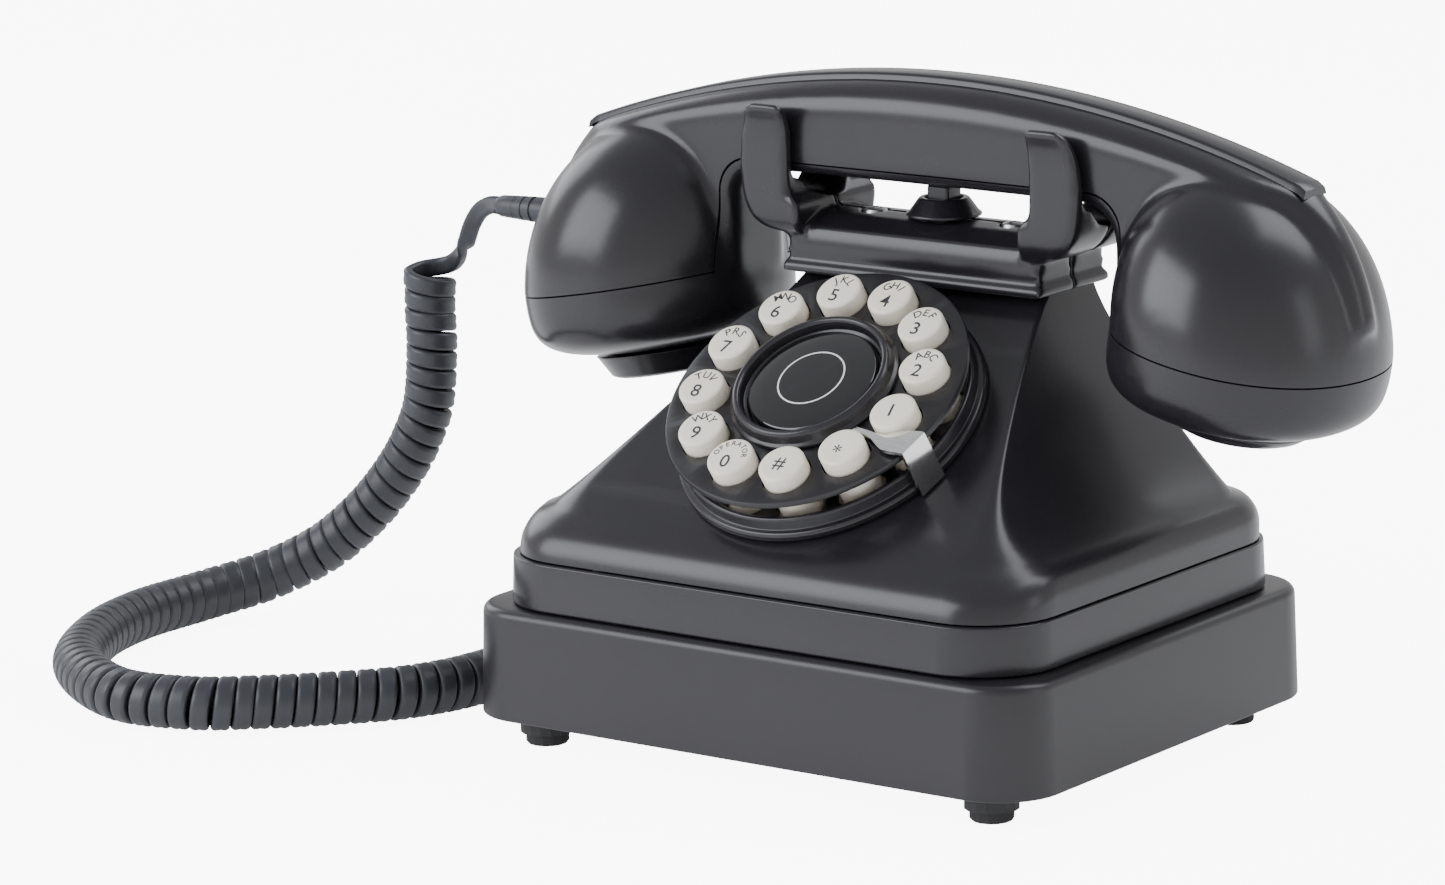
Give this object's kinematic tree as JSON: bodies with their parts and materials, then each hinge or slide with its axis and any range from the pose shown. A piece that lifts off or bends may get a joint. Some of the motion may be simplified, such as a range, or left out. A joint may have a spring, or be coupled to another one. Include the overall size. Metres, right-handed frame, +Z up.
{
  "type": "desk telephone",
  "caption": "Desk telephone in a vintage style: flared base, sloping dial-shaped push-button pad, arched lift-off handset on a two-prong cradle, curly cord.",
  "frame": {"origin": "on the table, under the middle of the base", "axes": "+Z up; -Y towards the user, the way the dial pad faces; +X along the handset towards its earpiece"},
  "size_m": [0.339, 0.1665, 0.1563],
  "materials": {
    "shell_black": "semi-gloss moulded",
    "disc_black": "high gloss",
    "inner_black": "matt moulded",
    "key_cream": "satin",
    "stop_chrome": "polished",
    "steel": "zinc plated",
    "iron": "as cast",
    "rubber_black": "matt",
    "cord_slate": "satin",
    "board_green": "solder mask",
    "plug_clear": "clear moulded"
  },
  "bodies": {
    "base": {"plinth_shell": "shell_black", "lower_housing": "shell_black", "housing_cover": "shell_black", "cradle_front": "shell_black", "cradle_rear": "shell_black", "plunger_collar": "shell_black", "dial_base": "shell_black", "finger_plate": "shell_black", "centre_ring": "shell_black", "bottom_plate": "inner_black", "ringer_speaker": "inner_black", "handset_jack": "inner_black", "line_jack": "inner_black", "hook_switch": "inner_black", "foot_pad_front_left": "rubber_black", "foot_pad_front_right": "rubber_black", "foot_pad_rear_left": "rubber_black", "foot_pad_rear_right": "rubber_black", "keypad_mat": "rubber_black", "bottom_screw_front_left": "steel", "bottom_screw_front_right": "steel", "bottom_screw_rear_left": "steel", "bottom_screw_rear_right": "steel", "cradle_screw_left": "steel", "cradle_screw_right": "steel", "plunger_spring": "steel", "ballast_weight": "iron", "main_board": "board_green", "keypad_board": "board_green", "centre_disc": "disc_black", "finger_stop": "stop_chrome", "cord_lead": "cord_slate", "cord_coil": "cord_slate", "cord_tail": "cord_slate", "modular_plug": "plug_clear"},
    "handset": {"handset_upper_shell": "shell_black", "handset_lower_shell": "shell_black", "handset_spine": "shell_black", "mouthpiece_cap": "shell_black", "earpiece_cap": "shell_black", "microphone_capsule": "steel", "receiver_capsule": "steel", "handset_weight": "iron", "strain_relief": "cord_slate"},
    "hook": {"hook_plunger": "shell_black"},
    "key_1": {"button_1": "key_cream"},
    "key_2": {"button_2": "key_cream"},
    "key_3": {"button_3": "key_cream"},
    "key_4": {"button_4": "key_cream"},
    "key_5": {"button_5": "key_cream"},
    "key_6": {"button_6": "key_cream"},
    "key_7": {"button_7": "key_cream"},
    "key_8": {"button_8": "key_cream"},
    "key_9": {"button_9": "key_cream"},
    "key_0": {"button_0": "key_cream"},
    "key_hash": {"button_hash": "key_cream"},
    "key_star": {"button_star": "key_cream"}
  },
  "joints": [
    {"name": "handset_lift", "type": "slide", "parent": "base", "child": "handset", "axis": [0, 0, 1], "range_m": [0, 0.06]},
    {"name": "plunger_slide", "type": "slide", "parent": "base", "child": "hook", "axis": [0, 0, 1], "range_m": [0, 0.004], "deforming": ["plunger_spring"]},
    {"name": "press_1", "type": "slide", "parent": "base", "child": "key_1", "axis": [0, 0.5791, -0.8152], "range_m": [0, 0.0022], "stiffness_N_per_m": 300},
    {"name": "press_2", "type": "slide", "parent": "base", "child": "key_2", "axis": [0, 0.5791, -0.8152], "range_m": [0, 0.0022], "stiffness_N_per_m": 300},
    {"name": "press_3", "type": "slide", "parent": "base", "child": "key_3", "axis": [0, 0.5791, -0.8152], "range_m": [0, 0.0022], "stiffness_N_per_m": 300},
    {"name": "press_4", "type": "slide", "parent": "base", "child": "key_4", "axis": [0, 0.5791, -0.8152], "range_m": [0, 0.0022], "stiffness_N_per_m": 300},
    {"name": "press_5", "type": "slide", "parent": "base", "child": "key_5", "axis": [0, 0.5791, -0.8152], "range_m": [0, 0.0022], "stiffness_N_per_m": 300},
    {"name": "press_6", "type": "slide", "parent": "base", "child": "key_6", "axis": [0, 0.5791, -0.8152], "range_m": [0, 0.0022], "stiffness_N_per_m": 300},
    {"name": "press_7", "type": "slide", "parent": "base", "child": "key_7", "axis": [0, 0.5791, -0.8152], "range_m": [0, 0.0022], "stiffness_N_per_m": 300},
    {"name": "press_8", "type": "slide", "parent": "base", "child": "key_8", "axis": [0, 0.5791, -0.8152], "range_m": [0, 0.0022], "stiffness_N_per_m": 300},
    {"name": "press_9", "type": "slide", "parent": "base", "child": "key_9", "axis": [0, 0.5791, -0.8152], "range_m": [0, 0.0022], "stiffness_N_per_m": 300},
    {"name": "press_0", "type": "slide", "parent": "base", "child": "key_0", "axis": [0, 0.5791, -0.8152], "range_m": [0, 0.0022], "stiffness_N_per_m": 300},
    {"name": "press_hash", "type": "slide", "parent": "base", "child": "key_hash", "axis": [0, 0.5791, -0.8152], "range_m": [0, 0.0022], "stiffness_N_per_m": 300},
    {"name": "press_star", "type": "slide", "parent": "base", "child": "key_star", "axis": [0, 0.5791, -0.8152], "range_m": [0, 0.0022], "stiffness_N_per_m": 300}
  ],
  "couplings": [
    {"joint": "plunger_slide", "follows": "handset_lift", "ratio": 0.066667}
  ]
}
